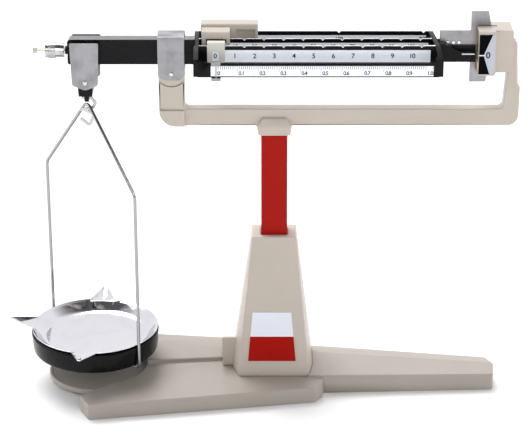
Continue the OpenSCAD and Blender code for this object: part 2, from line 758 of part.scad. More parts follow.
module rider_10g() {
    y = rail_y(1);
    top = 299.8;
    color([0.77, 0.77, 0.67]) difference() {
        union() {
            block([-53.3, y - 2.6, 283], [-39.2, y - 1.1, top]);
            block([-53.3, y - 2.6, rail_top(1) + run_gap], [-39.2, y + rail_t + 2, top]);
            block([-53.3, y + rail_t + rider_fit, rail_top(1) - 8], [-39.2, y + rail_t + 2, top]);
        }
        block([-48.9, y - 4, 282], [-43.3, y, 293]);
    }
}

module slider_1g() {
    y = rail_y(0);
    color(steel) {
        difference() {
            block([-49.8, y - strip_t - rider_fit - 0.8, rail_bottom - 2.6],
                  [-42.5, y + rail_t + rider_fit + 0.8, front_rail_top + run_gap + 0.8]);
            block([-52, y - strip_t - rider_fit, rail_bottom - run_gap],
                  [-40, y + rail_t + rider_fit, front_rail_top + run_gap]);
            block([-52, y - 5, rail_bottom - 0.2], [-40, y - strip_t, front_rail_top - 1.9]);
        }
        block([-46.4, y - strip_t - rider_fit - 0.8, rail_bottom - 1], [-45.6, y - strip_t - rider_fit, front_rail_top - 1]);
    }
}

// Stirrup: two plates, their bearings, and the carrier between them
stirrup_low = 261;
stirrup_top = 300;
carrier_low = 255.4;
carrier_w = 11.6;

module stirrup_face() {
    half = stirrup_w / 2;
    polygon(rounded([[pan_x - half, stirrup_top, 1], [pan_x - half + 1.2, stirrup_low + 4.2, 2.5],
                     [pan_x, stirrup_low - 0.4, 6], [pan_x + half - 1.2, stirrup_low + 4.2, 2.5],
                     [pan_x + half, stirrup_top, 1]]));
}

module stirrup_plates() {
    color([0.74, 0.75, 0.77]) for (side = [-1, 1]) {
        outer = side * stirrup_d / 2;
        inner = side * (stirrup_d / 2 - stirrup_t);
        difference() {
            translate([0, max(outer, inner), 0]) rotate([90, 0, 0]) linear_extrude(stirrup_t) stirrup_face();
            for (z = stirrup_screw_z) translate([pan_x, 0, z]) rotate([90, 0, 0])
                cylinder(d = stirrup_screw_d, h = 60, center = true);
        }
    }
}

// Agate bearings that rest on the two ends of the pan knife
module stirrup_bearings() {
    y0 = arm_t / 2 + 1;
    y1 = stirrup_d / 2 - stirrup_t;
    groove = 1.5;
    for (side = [-1, 1]) color([0.55, 0.45, 0.42])
        upright_slab([[pan_x - 5, knife_z + 6], [pan_x + 5, knife_z + 6], [pan_x + 5, knife_z + run_gap - groove],
                      [pan_x, knife_z + run_gap], [pan_x - 5, knife_z + run_gap - groove]],
                     side > 0 ? y0 : -y1, side > 0 ? y1 : -y0);
}

stirrup_screw_d = 2.5;
stirrup_screw_z = [267];

module stirrup_screws() {
    color(steel) for (side = [-1, 1]) for (z = stirrup_screw_z)
        translate([pan_x, side * stirrup_d / 2, z]) rotate([-side * 90, 0, 0]) {
            cylinder(d1 = 4.4, d2 = 3.2, h = 0.8);
            translate([0, 0, -6]) cylinder(d = stirrup_screw_d, h = 6);
        }
}

// Carrier: black bar across the bottom of the stirrup, with a hanging eye
eye_z = 251.4;
eye_d = 4.6;
eye_out = 8.4;
eye_t = 3.6;

module carrier() {
    inner = stirrup_d / 2 - stirrup_t;
    color(black) difference() {
        union() {
            upright_slab(rounded([[pan_x - carrier_w / 2 + 0.4, carrier_low, 0.6], [pan_x + carrier_w / 2 - 0.4, carrier_low, 0.6],
                                  [pan_x + carrier_w / 2, carrier_low + 5, 0], [pan_x + carrier_w / 2, 270, 0],
                                  [pan_x - carrier_w / 2, 270, 0], [pan_x - carrier_w / 2, carrier_low + 5, 0]]), -inner, inner);
            // Eye from which the hook hangs
            long_slab(concat(arc([0, eye_z], eye_out / 2, 180, 360, 16), [[eye_out / 2, carrier_low + 1], [-eye_out / 2, carrier_low + 1]]),
                      pan_x - eye_t / 2, pan_x + eye_t / 2);
        }
        translate([pan_x - 20, 0, eye_z]) rotate([0, 90, 0]) cylinder(d = eye_d, h = 40);
        for (z = stirrup_screw_z) translate([pan_x, 0, z]) rotate([90, 0, 0])
            cylinder(d = stirrup_screw_d, h = 60, center = true);
    }
}

// Flat hook with two crooks that open to the left: the upper one holds the bail
hook_w = 2.5;
hook_t = 2;
upper_crook = [[-3.2, 250.6, 0], [3.6, 250.6, 1.8], [7, 246, 1.6], [4.4, 242.2, 1.6], [-4.2, 240.2, 0]];
lower_crook = [[-3.4, 240.6, 0], [5.3, 236.8, 1.8], [1.4, 226.9, 1.6], [-4.9, 232.4, 0]];

// Height at which the bail rests on the upper crook
seat_slope = (upper_crook[3][1] - upper_crook[4][1]) / (upper_crook[3][0] - upper_crook[4][0]);
hook_seat_z = upper_crook[4][1] - seat_slope * upper_crook[4][0] + hook_w / 2 * sqrt(1 + pow(seat_slope, 2));

module double_hook() {
    color([0.78, 0.78, 0.77]) translate([pan_x, hook_t / 2, 0]) rotate([90, 0, 0]) linear_extrude(hook_t) {
        polygon(ribbon(rounded_route(upper_crook), hook_w));
        polygon(ribbon(rounded_route(lower_crook), hook_w));
    }
}

// Bail: one wire from the holder's front right over the hook to its back left
leg_r = holder_r + wire_d / 2 + 0.2;
holder_low = holder_top - holder_h;
foot_z = holder_low - wire_d / 2 - 0.15;
foot_r = leg_r - 12;
top_round = 5;
seat_fit = 1.15;
top_half = atan(leg_r / (hook_seat_z - shoulder_z + 4));
apex_z = hook_seat_z + seat_fit + wire_d / 2 + top_round * (1 / sin(top_half) - 1);

// Corners of one half of the bail, from its foot to its top
function bail_half(s) = [[s * foot_r, holder_low + 2.6, 0], [s * foot_r, foot_z, 1.5], [s * leg_r, foot_z, 5],
                         [s * leg_r, shoulder_z, 9]];

module bail() {
    left = bail_half(-1);
    color([0.85, 0.86, 0.88]) translate([pan_x, pan_y, 0]) rotate(bail_turn)
        wire(rounded_route(concat(bail_half(1), [[0, apex_z, top_round]], [for (i = [3:-1:0]) left[i]])), wire_d);
}

// Pan holder: black dish with a rolled lip, carried on the two feet of the bail
holder_wall = 3.2;
lip_r = holder_r - holder_wall;

module pan_holder() {
    color(black) translate([pan_x, pan_y, 0]) difference() {
        rotate_extrude($fn = 128) polygon(rounded(
            [[14, holder_low, 0], [holder_r - 1.4, holder_low, 2.5],
             [holder_r, holder_top, 1.2], [lip_r, holder_top, 0.6], [lip_r, holder_low + 8, 2],
             [lip_r - 4.5, holder_low + holder_floor, 1.5], [14, holder_low + holder_floor, 0]]));
        for (s = [-1, 1]) rotate(bail_turn) translate([s * foot_r, 0, holder_low - over])
            cylinder(d = wire_d + 0.1, h = 3.8);
    }
}

// Steel pan: a thin spun dish, its rim drawn out into pouring spouts
pan_z = holder_top + pan_rise;
pan_flare = 0.95;
pan_fit = 0.1;
pan_sides = 120;
spout_turns = [87, 174, 264];
spout_half = 12;
spout_tip = 1.1;
spout_lift = 3.5;
spout_deep = 2.6;
spout_floor = holder_top + pan_t + 0.5;

// Outer radius of the pan's wall at a height
function pan_wall(z) = lip_r - pan_fit + (z - holder_top) * pan_flare;
pan_r = pan_wall(pan_z);

// Angle from a direction to the nearest spout
function from_spout(a) = min([for (s = spout_turns) abs(((a - s + 540) % 360) - 180)]);

// Directions of the pan's points: even steps, and two at the blunt tip of each spout
pan_turns = [for (k = [0:pan_sides - 1]) let (a = k * 360 / pan_sides)
             each from_spout(a) < 0.01 ? [a - spout_tip, a + spout_tip] : [a]];

// Radius and height of the rim: a spout's sides run straight to its tip
spout_slope = (spout_reach - pan_r * cos(spout_half)) / (pan_r * sin(spout_half) - spout_reach * tan(spout_tip));
spout_point = spout_reach * (1 + spout_slope * tan(spout_tip));
function rim_reach(a) = let (d = from_spout(a))
    d >= spout_half ? pan_r : spout_point / (cos(d) + spout_slope * sin(d));
function rim_z(a) = pan_z + spout_lift * (rim_reach(a) - pan_r) / (spout_reach - pan_r);

function pan_ring(reach, z) = [for (a = pan_turns) [reach * cos(a), reach * sin(a), z]];
function rim_ring(drop) = [for (a = pan_turns) [rim_reach(a) * cos(a), rim_reach(a) * sin(a), rim_z(a) - drop]];

// Ring part of the way out to the rim, sunk along the middle of each spout to make its channel
function channel_ring(from, share, drop) =
    [for (a = pan_turns) let (reach = from + share * (rim_reach(a) - from),
                              sink = spout_deep * max(0, 1 - from_spout(a) / spout_half))
     [reach * cos(a), reach * sin(a), spout_floor + share * (rim_z(a) - spout_floor) - sink - drop]];

module steel_pan() {
    floor_z = pan_z - pan_depth;
    low_z = floor_z - pan_t;
    in_wall = pan_t * 1.3;
    out_r = pan_wall(spout_floor - pan_t);
    in_r = pan_wall(spout_floor) - in_wall;
    rings = [pan_ring(pan_wall(low_z) - 3, low_z), pan_ring(pan_wall(low_z) - 0.6, low_z + 0.7),
             pan_ring(pan_wall(low_z + 2), low_z + 2), pan_ring(out_r, spout_floor - pan_t),
             channel_ring(out_r, 0.6, pan_t), rim_ring(pan_t), rim_ring(0), channel_ring(in_r, 0.6, 0),
             pan_ring(in_r, spout_floor),
             pan_ring(pan_wall(floor_z + 2) - in_wall, floor_z + 2), pan_ring(pan_wall(floor_z) - in_wall - 0.6, floor_z + 0.7),
             pan_ring(pan_wall(floor_z) - in_wall - 3, floor_z)];
    last = len(rings) - 1;
    n = len(pan_turns);
    low_mid = (last + 1) * n;
    high_mid = low_mid + 1;
    color([0.86, 0.87, 0.89]) translate([pan_x, pan_y, 0]) polyhedron(
        points = concat([for (r = rings) each r], [[0, 0, low_z], [0, 0, floor_z]]),
        faces = [for (k = [0:n - 1]) let (m = (k + 1) % n) each concat(
            [[low_mid, k, m], [high_mid, last * n + m, last * n + k]],
            [for (i = [0:last - 1]) each [[i * n + k, (i + 1) * n + k, (i + 1) * n + m],
                                          [i * n + k, (i + 1) * n + m, i * n + m]]])]);
}

// Damper: cream housing on the upright, open to the left, with a slot for the vane
damper_front = -12;
damper_back = 16;
box_front = -8.5;
box_right = 188.8;
vane_slot = 3;
housing_screw_d = 2.5;
housing_screw_sites = [for (z = [281, 294]) [190, 12, z]];
cavity_right = damper_x + damper_w + 6;

module damper_housing() {
    top = damper_z + damper_h;
    w = damper_wall;
    lap = bar_d / 2 + 0.05;
    color(cream) difference() {
        union() {
            upright_slab(rounded([[damper_x, damper_z, 0], [damper_x + damper_w, damper_z, 2.5],
                                  [damper_x + damper_w, top, 2], [damper_x, top, 0]]), damper_front, damper_back);
            upright_slab(rounded([[damper_x + 3, damper_z + 1.7, 0], [box_right, damper_z + 1.7, 1],
                                  [box_right, top - 0.2, 1.5], [damper_x + 3, top - 0.2, 0]]), box_front, damper_back);
        }
        block([damper_x - over, damper_front + w, damper_z + w + 1], [damper_x + damper_w - w, damper_back - w, top - w]);
        block([damper_x - over, box_front + w, damper_z + w + 1.8], [cavity_right, damper_back - w, top - w - 0.2]);
        block([damper_x - over, vane_y + vane_t / 2 - vane_slot / 2, damper_z - over],
              [vane_x[1] + 3.6, vane_y + vane_t / 2 + vane_slot / 2, top + over]);
        // Lap over the upright
        upright_slab([[upright_x - 1.5, damper_z - 5], [box_right + 5, damper_z - 5], [box_right + 5, upright_top + 0.1],
                      [upright_x - 1.5, upright_top + 0.1]], -lap, lap);
        for (p = housing_screw_sites) translate([p[0], 20, p[2]]) rotate([90, 0, 0]) cylinder(d = 2.7, h = 14);
    }
}

module housing_screws() {
    color(steel) for (p = housing_screw_sites) translate([p[0], damper_back, p[2]]) rotate([-90, 0, 0]) {
        cylinder(d1 = 4.6, d2 = 3.6, h = 1.2);
        translate([0, 0, -12]) cylinder(d = housing_screw_d, h = 12);
    }
}

// Plated steel yoke round the two magnets
yoke_t = 1.6;
pole_front = vane_y + vane_t / 2 - magnet_gap / 2;
pole_back = vane_y + vane_t / 2 + magnet_gap / 2;
magnet_t = 4.6;
yoke_z = [damper_z + damper_wall + 2, damper_z + damper_h - damper_wall - 0.4];

module magnet_yoke() {
    y_front = pole_front - magnet_t - yoke_t;
    y_back = damper_back - damper_wall - 0.2;
    right = cavity_right - 0.2;
    color([0.85, 0.65, 0.15]) {
        difference() {
            block([damper_x, y_front, yoke_z[0]], [right, y_back, yoke_z[1]]);
            block([damper_x - over, y_front + yoke_t, yoke_z[0] - over], [right - yoke_t, y_back - yoke_t, yoke_z[1] + over]);
        }
        block([damper_x, damper_front + damper_wall + 0.2, yoke_z[0]], [damper_x + yoke_t, y_front, yoke_z[1]]);
    }
}

module magnets() {
    z0 = damper_z + damper_h / 2 - 9;
    y_back = damper_back - damper_wall - 0.2 - yoke_t;
    color([0.3, 0.3, 0.32]) {
        block([damper_x + 2.5, pole_front - magnet_t, z0], [damper_x + 16, pole_front, z0 + 18]);
        block([damper_x + 2.5, pole_back, z0], [damper_x + 16, y_back, z0 + 18]);
    }
}

// Dial plate on the front of the housing
dial_t = 0.4;
module dial_plate() {
    margin = 1;
    color([0.8, 0.82, 0.85]) upright_slab(
        [[damper_x + 0.4, damper_z + 1.4], [damper_x + damper_w - 3.4, damper_z + 1.4],
         [damper_x + damper_w - margin, damper_z + 4], [damper_x + damper_w - margin, damper_z + damper_h - 2.2],
         [damper_x + 0.4, damper_z + damper_h - 2.2]], damper_front - dial_t, damper_front);
}

base_casting();
column();
name_plate();
base_bolts();
post();
post_screws();
yoke();
main_bearings();
bearing_cover();
cover_rivets();
damper_housing();
housing_screws();
magnet_yoke();
magnets();
dial_plate();
beam();
main_knife();
pan_knife();
scale_1g();
scale_10g();
scale_100g();
scale_200g();
vane();
vane_rivets();
zero_screw();
zero_nut();
rider_200g();
rider_100g();
rider_10g();
slider_1g();
stirrup_plates();
stirrup_bearings();
stirrup_screws();
carrier();
double_hook();
bail();
pan_holder();
steel_pan();
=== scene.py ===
"""Four-beam laboratory balance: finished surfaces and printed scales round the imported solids."""

import json
import logging
import math
from dataclasses import dataclass, field
from enum import Enum
from typing import Optional, Sequence

import bpy
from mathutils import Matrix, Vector

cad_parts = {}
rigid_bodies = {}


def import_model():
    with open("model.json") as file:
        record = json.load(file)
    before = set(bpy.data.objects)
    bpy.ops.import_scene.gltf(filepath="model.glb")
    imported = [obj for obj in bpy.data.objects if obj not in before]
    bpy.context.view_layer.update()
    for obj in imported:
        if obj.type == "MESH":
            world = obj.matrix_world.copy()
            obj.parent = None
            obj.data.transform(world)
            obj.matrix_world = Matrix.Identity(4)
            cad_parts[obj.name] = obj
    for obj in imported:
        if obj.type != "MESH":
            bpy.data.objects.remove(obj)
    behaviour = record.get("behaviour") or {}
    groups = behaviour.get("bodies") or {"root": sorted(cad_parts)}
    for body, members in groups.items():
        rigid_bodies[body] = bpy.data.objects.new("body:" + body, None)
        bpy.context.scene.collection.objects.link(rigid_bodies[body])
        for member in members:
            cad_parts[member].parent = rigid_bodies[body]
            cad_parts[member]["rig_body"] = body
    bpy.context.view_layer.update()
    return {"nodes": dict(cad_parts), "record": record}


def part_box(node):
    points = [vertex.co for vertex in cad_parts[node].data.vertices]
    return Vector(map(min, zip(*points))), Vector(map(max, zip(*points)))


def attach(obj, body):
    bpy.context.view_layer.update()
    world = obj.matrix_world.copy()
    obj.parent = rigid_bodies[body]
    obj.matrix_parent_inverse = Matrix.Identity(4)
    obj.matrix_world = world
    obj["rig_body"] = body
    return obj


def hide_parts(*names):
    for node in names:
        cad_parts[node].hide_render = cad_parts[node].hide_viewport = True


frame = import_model()

LOG = logging.getLogger("balance")
MM = 0.001

NOISE_LOW, NOISE_HIGH = 0.35, 0.65  # the range that most of a noise texture's values fall in
SHARP_DEG = 28.0  # an edge that turns by more than this is rounded


class Tone(Enum):
    """Colours of the balance, as linear RGB."""

    CREAM = (0.485, 0.432, 0.378)
    CREAM_DEEP = (0.462, 0.410, 0.358)
    # the base's cream, the same paint as the column's but darkened: painted shade for the weaker
    # light low down
    BASE_CREAM = (0.345, 0.310, 0.274)
    BASE_DEEP = (0.325, 0.290, 0.256)
    RED = (0.340, 0.006, 0.003)
    RED_DEEP = (0.315, 0.005, 0.002)
    BLACK = (0.003, 0.003, 0.004)
    BLACK_WARM = (0.006, 0.006, 0.007)
    IVORY = (0.610, 0.600, 0.530)
    IVORY_DEEP = (0.580, 0.570, 0.500)
    SHEET = (0.310, 0.308, 0.322)
    SHEET_DARK = (0.230, 0.229, 0.242)
    STEEL = (0.520, 0.520, 0.530)
    STEEL_DARK = (0.330, 0.330, 0.340)
    BARE_EDGE = (0.800, 0.800, 0.820)
    CHROME = (0.350, 0.355, 0.365)
    PAN = (0.660, 0.655, 0.690)
    PAN_SHADE = (0.630, 0.625, 0.660)
    ZINC = (0.760, 0.450, 0.004)
    ZINC_DARK = (0.620, 0.350, 0.004)
    BRASS = (0.540, 0.515, 0.420)
    AGATE = (0.330, 0.190, 0.150)
    AGATE_PALE = (0.560, 0.440, 0.380)
    PAPER_WHITE = (0.880, 0.930, 1.000)
    PAPER_SHADE = (0.840, 0.890, 0.960)
    LABEL_WHITE = (0.700, 0.730, 0.810)
    DIAL_SILVER = (0.430, 0.450, 0.505)
    DIAL_INK = (0.050, 0.055, 0.085)
    INK = (0.012, 0.013, 0.020)
    INK_PALE = (0.030, 0.032, 0.045)
    LINE_WHITE = (0.800, 0.800, 0.800)
    MAGNET = (0.200, 0.200, 0.210)

    @property
    def rgba(self) -> tuple[float, float, float, float]:
        """The colour with full alpha."""
        return (*self.value, 1.0)


class Surface:
    """Builds one node material, one step at a time."""

    def __init__(self, name: str) -> None:
        """Start a material with its shader.

        Args:
            name: The material's name.
        """
        self.material = bpy.data.materials.new(name)
        self.material.use_nodes = True
        self.nodes = self.material.node_tree.nodes
        self.links = self.material.node_tree.links
        self.shader = self.nodes["Principled BSDF"]
        self.normal: Optional[bpy.types.NodeSocket] = None

    def place(self, scale: Sequence[float] = (1, 1, 1),
              shift: Sequence[float] = (0, 0, 0)) -> bpy.types.NodeSocket:
        """Coordinates on the piece, in metres, stretched and shifted.

        Args:
            scale: Stretch along X, Y and Z.
            shift: What is added after the stretch.

        Returns:
            The vector socket.
        """
        coords = self.nodes.new("ShaderNodeTexCoord")
        mapping = self.nodes.new("ShaderNodeMapping")
        mapping.inputs["Scale"].default_value = scale
        mapping.inputs["Location"].default_value = shift
        self.links.new(coords.outputs["Object"], mapping.inputs["Vector"])
        return mapping.outputs["Vector"]

    def noise(self, where: bpy.types.NodeSocket, scale: float,
              detail: float = 3.0) -> bpy.types.NodeSocket:
        """A noise value at a place.

        Args:
            where: Coordinates.
            scale: Cells per metre.
            detail: Octaves.

        Returns:
            The value socket.
        """
        noise = self.nodes.new("ShaderNodeTexNoise")
        noise.inputs["Scale"].default_value = scale
        noise.inputs["Detail"].default_value = detail
        self.links.new(where, noise.inputs["Vector"])
        return noise.outputs["Fac"]

    def rings(self, where: bpy.types.NodeSocket, scale: float,
              waver: float = 0.6) -> bpy.types.NodeSocket:
        """Fine turned rings about the Z axis.

        Args:
            where: Coordinates centred on the turning axis.
            scale: Rings per metre, roughly.
            waver: How far the rings stray from true circles.

        Returns:
            The value socket.
        """
        wave = self.nodes.new("ShaderNodeTexWave")
        wave.wave_type = "RINGS"
        wave.rings_direction = "Z"
        wave.inputs["Scale"].default_value = scale
        wave.inputs["Distortion"].default_value = waver
        self.links.new(where, wave.inputs["Vector"])
        return wave.outputs["Fac"]

    def blend(self, value: bpy.types.NodeSocket, low: Tone, high: Tone,
              start: float, end: float) -> bpy.types.NodeSocket:
        """Two tones blended by a value.

        Args:
            value: What drives the blend.
            low: The tone below start.
            high: The tone above end.
            start: Where the blend starts.
            end: Where it ends.

        Returns:
            The colour socket.
        """
        ramp = self.nodes.new("ShaderNodeValToRGB")
        first, last = ramp.color_ramp.elements
        first.position, first.color = start, low.rgba
        last.position, last.color = end, high.rgba
        self.links.new(value, ramp.inputs["Fac"])
        return ramp.outputs["Color"]

    def spread(self, value: bpy.types.NodeSocket, low: float, high: float) -> bpy.types.NodeSocket:
        """A value mapped from the usual range of noise to another range.

        Args:
            value: The value to map.
            low: What NOISE_LOW becomes.
            high: What NOISE_HIGH becomes.

        Returns:
            The mapped socket.
        """
        span = self.nodes.new("ShaderNodeMapRange")
        span.inputs["From Min"].default_value = NOISE_LOW
        span.inputs["From Max"].default_value = NOISE_HIGH
        span.inputs["To Min"].default_value = low
        span.inputs["To Max"].default_value = high
        self.links.new(value, span.inputs["Value"])
        return span.outputs["Result"]

    def bump(self, height: bpy.types.NodeSocket, strength: float, depth_mm: float) -> None:
        """Add relief on top of what is there.

        Args:
            height: The height's value.
            strength: How strongly it shows.
            depth_mm: The depth of the relief.
        """
        bump = self.nodes.new("ShaderNodeBump")
        bump.inputs["Strength"].default_value = strength
        bump.inputs["Distance"].default_value = depth_mm * MM
        self.links.new(height, bump.inputs["Height"])
        if self.normal is not None:
            self.links.new(self.normal, bump.inputs["Normal"])
        self.normal = bump.outputs["Normal"]
        self.links.new(self.normal, self.shader.inputs["Normal"])

    def set(self, **values: float) -> None:
        """Set shader sockets that are the same all over.

        Args:
            values: Socket names with underscores for spaces, and their values.
        """
        for key, value in values.items():
            self.shader.inputs[key.replace("_", " ")].default_value = value

    def feed(self, socket: str, source: bpy.types.NodeSocket) -> None:
        """Feed a shader socket from a node.

        Args:
            socket: The shader socket's name.
            source: What feeds it.
        """
        self.links.new(source, self.shader.inputs[socket])


@dataclass(frozen=True)
class Enamel:
    """Sprayed enamel over a casting or a tube. Clouds, sheen and grain are cells per metre."""

    light: Tone
    deep: Tone
    gloss: float = 0.34
    peel: float = 0.10
    specular: float = 0.35
    coat: float = 0.0
    coat_roughness: float = 0.08
    clouds: float = 24.0
    sheen: float = 160.0
    grain: float = 900.0
    grain_mm: float = 0.02
    tone_span: tuple[float, float] = (0.30, 0.70)
    gloss_swing: tuple[float, float] = (-0.03, 0.05)

    def dress(self, name: str) -> bpy.types.Material:
        """Make the material.

        Args:
            name: The material's name.

        Returns:
            The material.
        """
        surface = Surface(name)
        where = surface.place()
        clouds = surface.noise(where, self.clouds, detail=2.0)
        surface.feed("Base Color", surface.blend(clouds, self.deep, self.light, *self.tone_span))
        low, high = (self.gloss + swing for swing in self.gloss_swing)
        surface.feed("Roughness", surface.spread(surface.noise(where, self.sheen), low, high))
        surface.bump(surface.noise(where, self.grain, detail=2.0), self.peel, self.grain_mm)
        surface.set(Specular_IOR_Level=self.specular, Coat_Weight=self.coat,
                    Coat_Roughness=self.coat_roughness)
        return surface.material


@dataclass(frozen=True)
class Brushed:
    """Bare metal with fine lines along one axis."""

    light: Tone
    dark: Tone
    lines: tuple[float, float, float] = (30.0, 900.0, 900.0)
    roughness: float = 0.34
    relief: float = 0.12
    relief_mm: float = 0.03
    stains: float = 90.0
    anisotropy: float = 0.4
    tone_span: tuple[float, float] = (0.28, 0.60)
    roughness_swing: tuple[float, float] = (-0.08, 0.10)

    def dress(self, name: str) -> bpy.types.Material:
        """Make the material.

        Args:
            name: The material's name.

        Returns:
            The material.
        """
        surface = Surface(name)
        lines = surface.noise(surface.place(self.lines), 1.0, detail=4.0)
        stains = surface.noise(surface.place(), self.stains)
        surface.feed("Base Color", surface.blend(stains, self.dark, self.light, *self.tone_span))
        low, high = (self.roughness + swing for swing in self.roughness_swing)
        surface.feed("Roughness", surface.spread(lines, low, high))
        surface.bump(lines, self.relief, self.relief_mm)
        surface.set(Metallic=1.0, Anisotropic=self.anisotropy)
        return surface.material


@dataclass(frozen=True)
class Polished:
    """Polished metal with faint turned rings round an upright axis."""

    tone: Tone
    shade: Tone
    centre: tuple[float, float, float] = (0.0, 0.0, 0.0)
    roughness: float = 0.07
    turned: float = 0.0
    rings: float = 300.0
    rings_mm: float = 0.01
    haze: float = 60.0
    haze_roughness: float = 0.07
    waves: float = 30.0
    waves_relief: float = 0.06
    waves_mm: float = 0.10
    tone_span: tuple[float, float] = (0.30, 0.55)

    def dress(self, name: str) -> bpy.types.Material:
        """Make the material.

        Args:
            name: The material's name.

        Returns:
            The material.
        """
        surface = Surface(name)
        where = surface.place(shift=[-value for value in self.centre])
        haze = surface.noise(where, self.haze, detail=4.0)
        surface.feed("Base Color", surface.blend(haze, self.shade, self.tone, *self.tone_span))
        dull = self.roughness + self.haze_roughness
        surface.feed("Roughness", surface.spread(haze, self.roughness, dull))
        waves = surface.noise(where, self.waves, detail=1.0)
        surface.bump(waves, self.waves_relief, self.waves_mm)
        if self.turned > 0:
            surface.bump(surface.rings(where, self.rings), self.turned, self.rings_mm)
        surface.set(Metallic=1.0)
        return surface.material


@dataclass(frozen=True)
class Printed:
    """Ink or a printed sheet: an even colour with a slight tooth."""

    tone: Tone
    shade: Tone
    roughness: float = 0.42
    metallic: float = 0.0
    specular: float = 0.4
    tooth: float = 500.0
    tooth_relief: float = 0.05
    tooth_mm: float = 0.02
    sheen: float = 120.0
    sheen_swing: float = 0.05
    tone_span: tuple[float, float] = (0.30, 0.55)

    def dress(self, name: str) -> bpy.types.Material:
        """Make the material.

        Args:
            name: The material's name.

        Returns:
            The material.
        """
        surface = Surface(name)
        where = surface.place()
        tooth = surface.noise(where, self.tooth, detail=2.0)
        surface.feed("Base Color", surface.blend(tooth, self.shade, self.tone, *self.tone_span))
        low, high = self.roughness - self.sheen_swing, self.roughness + self.sheen_swing
        surface.feed("Roughness", surface.spread(surface.noise(where, self.sheen), low, high))
        surface.bump(tooth, self.tooth_relief, self.tooth_mm)
        surface.set(Metallic=self.metallic, Specular_IOR_Level=self.specular)
        return surface.material


@dataclass(frozen=True)
class Agate:
    """Banded polished stone."""

    bands: tuple[float, float, float] = (200.0, 200.0, 900.0)
    tone_span: tuple[float, float] = (0.35, 0.62)
    sheen: float = 300.0
    roughness: tuple[float, float] = (0.12, 0.22)
    relief: float = 0.03
    relief_mm: float = 0.02

    def dress(self, name: str) -> bpy.types.Material:
        """Make the material.

        Args:
            name: The material's name.

        Returns:
            The material.
        """
        surface = Surface(name)
        where = surface.place()
        bands = surface.noise(surface.place(self.bands), 1.0, detail=5.0)
        tones = surface.blend(bands, Tone.AGATE, Tone.AGATE_PALE, *self.tone_span)
        surface.feed("Base Color", tones)
        sheen = surface.noise(where, self.sheen)
        surface.feed("Roughness", surface.spread(sheen, *self.roughness))
        surface.bump(bands, self.relief, self.relief_mm)
        return surface.material


def alone(*objects: bpy.types.Object) -> bpy.types.Object:
    """Select only these objects and make the last of them active.

    Args:
        objects: What to select.

    Returns:
        The last object.
    """
    bpy.ops.object.select_all(action="DESELECT")
    for item in objects:
        item.select_set(True)
    bpy.context.view_layer.objects.active = objects[-1]
    return objects[-1]


def settle(piece: bpy.types.Object, name: str) -> bpy.types.Object:
    """Name a piece and put its place into its mesh.

    Args:
        piece: The piece.
        name: Its name.

    Returns:
        The piece.
    """
    alone(piece)
    bpy.ops.object.transform_apply(location=True, rotation=True, scale=True)
    piece.name = name
    piece.data.name = name
    return piece


def join(pieces: Sequence[bpy.types.Object], name: str) -> bpy.types.Object:
    """Join pieces into one.

    Args:
        pieces: The pieces, all of them meshes.
        name: The joined piece's name.

    Returns:
        The joined piece.
    """
    alone(*pieces)
    bpy.ops.object.join()
    return settle(bpy.context.view_layer.objects.active, name)


def slot_of(node: str) -> str:
    """The record's material slot of a node.

    Args:
        node: The node.

    Returns:
        The slot's name.
    """
    parts = frame["record"]["subparts"]
    return next(part["material_slot"] for part in parts if part["node"] == node)


def body_of(node: str) -> str:
    """The body that a node belongs to.

    Args:
        node: The node.

    Returns:
        The body's name.
    """
    return frame["nodes"][node]["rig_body"]


def paint(piece: bpy.types.Object, material: bpy.types.Material) -> None:
    """Give a piece one material all over.

    Args:
        piece: The piece.
        material: The finish.
    """
    piece.data.materials.clear()
    piece.data.materials.append(material)


@dataclass
class Softened:
    """A node's own shape with its edges rounded as on the real piece."""

    node: str
    width_mm: float
    segments: int = 3
    sharp_deg: float = SHARP_DEG
    flat_deg: float = 0.3
    merge_mm: float = 0.03

    def build(self, material: bpy.types.Material) -> bpy.types.Object:
        """Copy the node, merge its faces, round its edges and stand the copy in its place.

        Args:
            material: The finish.

        Returns:
            The piece.
        """
        name = f"{self.node}_finished"
        piece = bpy.data.objects.new(name, frame["nodes"][self.node].data.copy())
        bpy.context.scene.collection.objects.link(piece)
        alone(piece)
        bpy.ops.object.mode_set(mode="EDIT")
        bpy.ops.mesh.select_all(action="SELECT")
        bpy.ops.mesh.remove_doubles(threshold=self.merge_mm * MM)
        if self.width_mm > 0:
            bpy.ops.mesh.dissolve_limited(angle_limit=math.radians(self.flat_deg))
            bpy.ops.mesh.vert_connect_concave()
        bpy.ops.object.mode_set(mode="OBJECT")
        bpy.ops.object.shade_smooth_by_angle(angle=math.radians(self.sharp_deg))
        if self.width_mm > 0:
            rounding = piece.modifiers.new("edges", "BEVEL")
            rounding.width = self.width_mm * MM
            rounding.segments = self.segments
            rounding.limit_method = "ANGLE"
            rounding.angle_limit = math.radians(self.sharp_deg)
            rounding.harden_normals = True
            rounding.use_clamp_overlap = False
            rounding.loop_slide = False
            bpy.ops.object.modifier_apply(modifier=rounding.name)
        paint(piece, material)
        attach(piece, body_of(self.node))
        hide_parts(self.node)
        return piece


